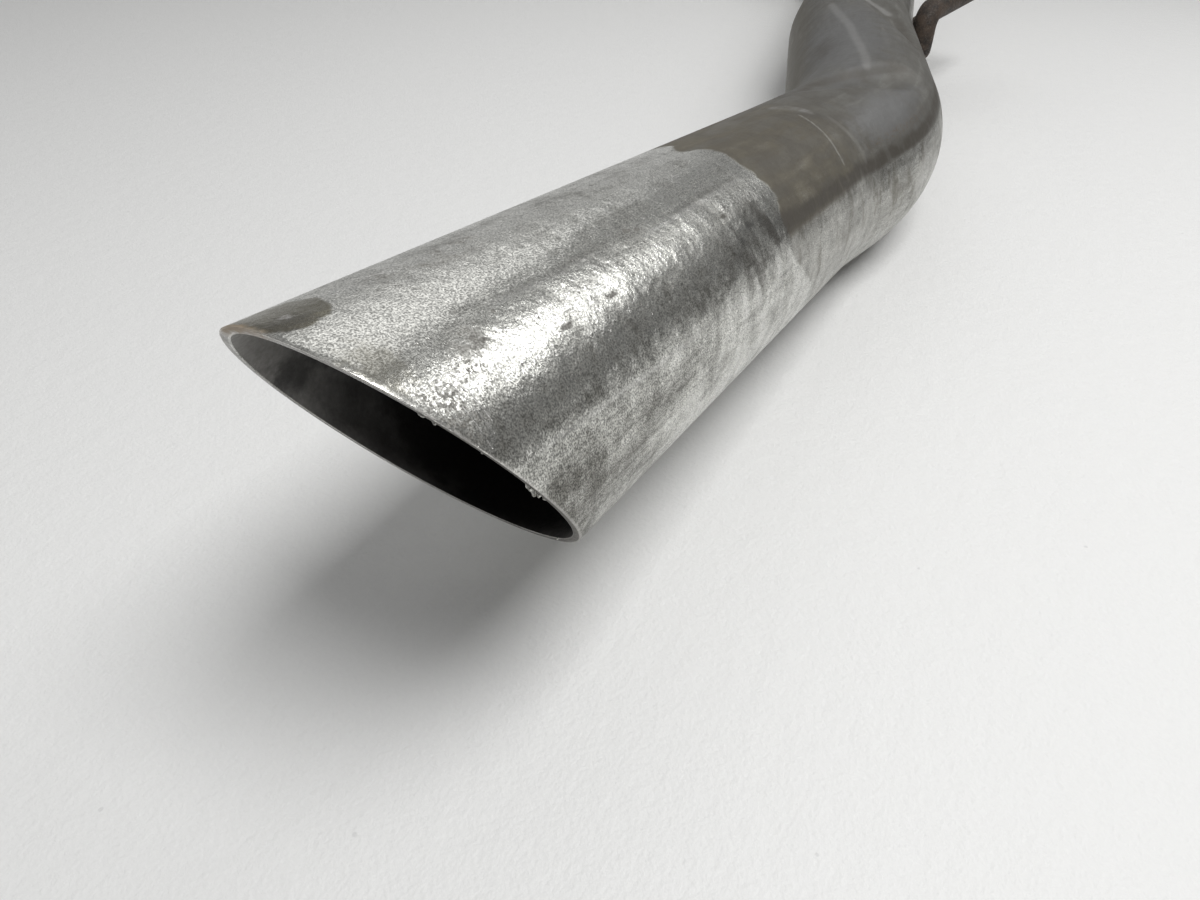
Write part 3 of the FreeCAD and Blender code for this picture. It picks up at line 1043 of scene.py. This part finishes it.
def makeRust(name, dark, brown, pale, metallic):
    material, tree, shader = startMaterial(name)
    read = addNode(tree, "ShaderNodeTexCoord").outputs["Object"]
    place = vectorCalc(tree, "SCALE", read, 1000.0)
    clouds = noiseAt(tree, place, 7.0, 5.0, 0.65)
    fine = noiseAt(tree, place, 0.9, 4.0, 0.7)
    colour = blend(tree, remap(tree, clouds, 0.36, 0.62), dark, brown)
    colour = lay(tree, colour, remap(tree, fine, 0.55, 0.72), rodFinish["scaleCover"], pale)
    pitted = placeGroup(tree, pitMask, {"Place": place, **rodFinish["pits"]})["Mask"]
    colour = lay(tree, colour, pitted, rodFinish["pitCover"], dark)
    tree.links.new(colour, shader.inputs["Base Color"])
    tree.links.new(remap(tree, fine, 0.3, 0.7, 0.82, 0.55), shader.inputs["Roughness"])
    shader.inputs["Metallic"].default_value = metallic
    relief = calc(tree, "SUBTRACT", fine, calc(tree, "MULTIPLY", pitted, 0.8))
    tree.links.new(addRelief(tree, relief, rodFinish["relief"]), shader.inputs["Normal"])
    return material


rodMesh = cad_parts["hanger_rod"].data
rodMesh.materials.clear()
rodMesh.materials.append(makeRust("rustySteel", rodFinish["darkRust"], rodFinish["brownRust"],
                                  rodFinish["paleScale"], rodFinish["metallic"]))


# The two weld beads between the rod's foot and the tube, rippled as the puddles froze
weld = {
    "leg": 3,              # the straight run that carries the rod, counted from the outlet
    "rodRadius": 6.0,
    "sink": 0.4,
    "footDrop": 6.0,
    "first": 52.0,         # along that run, where the bead starts, and its length back from there
    "length": 33.0,
    "radius": 3.55,
    "endRadius": 2.2,
    "taper": 6.0,
    "ripple": 0.42,
    "pitch": 2.3,
    "crescent": 1.5,
    "capLength": 1.6,      # how far the two ends are rounded off
    "rings": 150,
    "segments": 48,
    "darkFilm": tone(0.060, 0.052, 0.045),
    "brownFilm": tone(0.180, 0.155, 0.130),
    "metal": tone(0.34, 0.32, 0.29),
    "metallic": 0.8,
}


def makeWeld(name, node, above, material):
    runs = [part for part in pathParts if part[0] == "run"]
    start, along = np.array(runs[weld["leg"]][3]), np.array(runs[weld["leg"]][4])
    side = np.cross(along, (0, 0, 1))
    toRod = side * (pipe["outerRadius"] + weld["rodRadius"] - weld["sink"]) \
        - np.array((0, 0, weld["footDrop"]))
    toRod = toRod / np.linalg.norm(toRod)
    across = np.cross(along, toRod) * above
    base = start + toRod * (pipe["outerRadius"] + weld["rodRadius"] * 0.35) \
        + across * weld["rodRadius"] * 0.95 + along * weld["first"]
    length, rings, segments = weld["length"], weld["rings"], weld["segments"]
    points, faces = [], []
    for ring in range(rings):
        travel = length * ring / (rings - 1)
        fromEnd = min(travel, length - travel)
        taper = min(fromEnd / weld["taper"], 1.0)
        body = weld["endRadius"] + (weld["radius"] - weld["endRadius"]) * taper * (2 - taper)
        cap = min(fromEnd / weld["capLength"], 1.0)
        body = body * math.sqrt(max(1.0 - (1.0 - cap) ** 2, 0.01))
        for segment in range(segments):
            turn = 2 * math.pi * segment / segments
            # the ripples are crescents, and no two puddles are the same size
            bowed = travel + weld["crescent"] * math.cos(turn)
            count = bowed / weld["pitch"] + 0.18 * math.sin(bowed * 0.9 + above)
            phase = count - math.floor(count)
            radius = body - weld["ripple"] * taper * (1.0 - phase) ** 2 * phase * 3.2
            points.append((base - along * travel + (across * math.cos(turn) + toRod * math.sin(turn))
                           * radius) * 0.001)
    for ring in range(rings - 1):
        for segment in range(segments):
            beside = (segment + 1) % segments
            faces.append((ring * segments + segment, ring * segments + beside,
                          (ring + 1) * segments + beside, (ring + 1) * segments + segment))
    faces.append(tuple(reversed(range(segments))))
    faces.append(tuple((rings - 1) * segments + segment for segment in range(segments)))
    piece = makePiece(name, points, faces, node)
    piece.data.materials.append(material)


weldMetal = makeRust("weldMetal", weld["darkFilm"], weld["brownFilm"], weld["metal"],
                     weld["metallic"])
makeWeld("upperWeld", "rod_weld_upper", 1, weldMetal)
makeWeld("lowerWeld", "rod_weld_lower", -1, weldMetal)
print("burrs, rod and welds made")


# Floor
stage = {
    "radius": 1.1,
    "middle": (0.05, 0.05),
    "colour": tone(0.80, 0.80, 0.79),
    "grit": {"Spacing": 9.0, "Share": 0.10, "Size": 0.55},
    "gritCover": 0.25,
    "roughness": 0.55,
    "relief": 0.0003,
}


def makeFloor():
    bpy.ops.mesh.primitive_circle_add(vertices=128, radius=stage["radius"], fill_type="NGON",
                                      location=(stage["middle"][0], stage["middle"][1], 0.0))
    floor = bpy.context.object
    floor.name = "floor"
    material, tree, shader = startMaterial("paleFloor")
    read = addNode(tree, "ShaderNodeTexCoord").outputs["Object"]
    place = vectorCalc(tree, "SCALE", read, 1000.0)
    speckle = noiseAt(tree, place, 1.2, 3.0, 0.6)
    ripple = noiseAt(tree, place, 6.0, 3.0, 0.5, (3, 3, 0))
    grit = placeGroup(tree, pitMask, {"Place": place, **stage["grit"]})["Mask"]
    colour = blend(tree, remap(tree, speckle, 0.3, 0.7, 0.06, 0.0), stage["colour"], grey(0.6))
    colour = lay(tree, colour, grit, stage["gritCover"], grey(0.35))
    tree.links.new(colour, shader.inputs["Base Color"])
    shader.inputs["Roughness"].default_value = stage["roughness"]
    relief = calc(tree, "MULTIPLY_ADD", ripple, 1.6, speckle)
    bump = addNode(tree, "ShaderNodeBump", {"Strength": 0.8, "Distance": stage["relief"],
                                             "Height": relief})
    tree.links.new(bump.outputs[0], shader.inputs["Normal"])
    floor.data.materials.append(material)


makeFloor()


# Light: a soft lamp overhead, a broad one ahead on the far side, a small window-like lamp ahead on
# the hanger rod's side, and a room that is lighter above and brighter on one side at eye level
lights = {
    "overhead": {"place": (-0.40, -0.52, 1.05), "aim": (-0.36, -0.09, 0.0), "size": (0.6, 0.6),
                 "power": 9.8},
    "skylight": {"place": (0.44, 0.36, 0.80), "aim": (-0.40, -0.12, 0.06), "size": (0.7, 0.7),
                 "power": 1.25},
    "window": {"place": (0.372, -0.445, 0.573), "aim": (-0.39, -0.115, 0.06), "size": (0.30, 0.30),
               "power": 1.15},
}
# heights are the upward part of the direction looked in, paired with how bright the room is there
room = {
    "dimSide": ((-0.20, 0.25), (-0.04, 0.10), (0.20, 0.12), (0.40, 0.28), (0.70, 0.30), (1.0, 0.15)),
    "brightSide": ((-0.20, 0.42), (-0.06, 0.60), (0.06, 0.58), (0.20, 0.30), (0.70, 0.30), (1.0, 0.15)),
    "sidesMeet": (-0.15, 0.35),
}


def addLamp(name, settings):
    data = bpy.data.lights.new(name, "AREA")
    data.shape = "RECTANGLE"
    data.size, data.size_y = settings["size"]
    data.energy = settings["power"]
    lamp = bpy.data.objects.new(name, data)
    bpy.context.scene.collection.objects.link(lamp)
    lamp.location = settings["place"]
    toward = Vector(settings["aim"]) - Vector(settings["place"])
    lamp.rotation_euler = toward.to_track_quat("-Z", "Y").to_euler()


for lampName, lampSettings in lights.items():
    addLamp(lampName, lampSettings)


def makeRoom():
    world = bpy.data.worlds.new("room")
    bpy.context.scene.world = world
    world.use_nodes = True
    tree = world.node_tree
    background = tree.nodes["Background"]
    direction = addNode(tree, "ShaderNodeTexCoord").outputs["Generated"]
    parts = addNode(tree, "ShaderNodeSeparateXYZ", {0: direction}).outputs
    height = calc(tree, "MULTIPLY_ADD", parts[2], 0.5, 0.5)
    sides = []
    for name in ("dimSide", "brightSide"):
        ramp = addNode(tree, "ShaderNodeValToRGB", {0: height})
        elements = ramp.color_ramp.elements
        (lowest, value), *middle, (_, topValue) = room[name]
        elements[0].position = lowest * 0.5 + 0.5
        elements[0].color = grey(value)
        elements[1].position = 1.0
        elements[1].color = grey(topValue)
        for level, value in middle:
            elements.new(level * 0.5 + 0.5).color = grey(value)
        sides.append(ramp.outputs[0])
    share = remap(tree, parts[1], room["sidesMeet"][0], room["sidesMeet"][1])
    tree.links.new(blend(tree, share, sides[0], sides[1]), background.inputs["Color"])
    background.inputs["Strength"].default_value = 1.0


makeRoom()
print("floor and light made")


# Camera, where the photograph was taken from
view = {
    "place": (-0.49920, -0.20304, 0.15469),
    "right": (0.47660, -0.87912, 0.0),
    "forward": (0.69502, 0.37679, -0.61236),
    "lens": 27.03,
}
cameraData = bpy.data.cameras.new("photoCamera")
cameraData.lens = view["lens"]
cameraData.sensor_width = 36.0
cameraData.clip_start = 0.01
camera = bpy.data.objects.new("photoCamera", cameraData)
bpy.context.scene.collection.objects.link(camera)
rightAxis = Vector(view["right"]).normalized()
backAxis = -Vector(view["forward"]).normalized()
upAxis = backAxis.cross(rightAxis).normalized()
cameraTurn = Matrix((rightAxis, upAxis, backAxis)).transposed().to_4x4()
camera.matrix_world = Matrix.Translation(view["place"]) @ cameraTurn
bpy.context.scene.camera = camera
bpy.context.scene.view_settings.view_transform = "Standard"
print("camera placed")

bpy.context.view_layer.update()
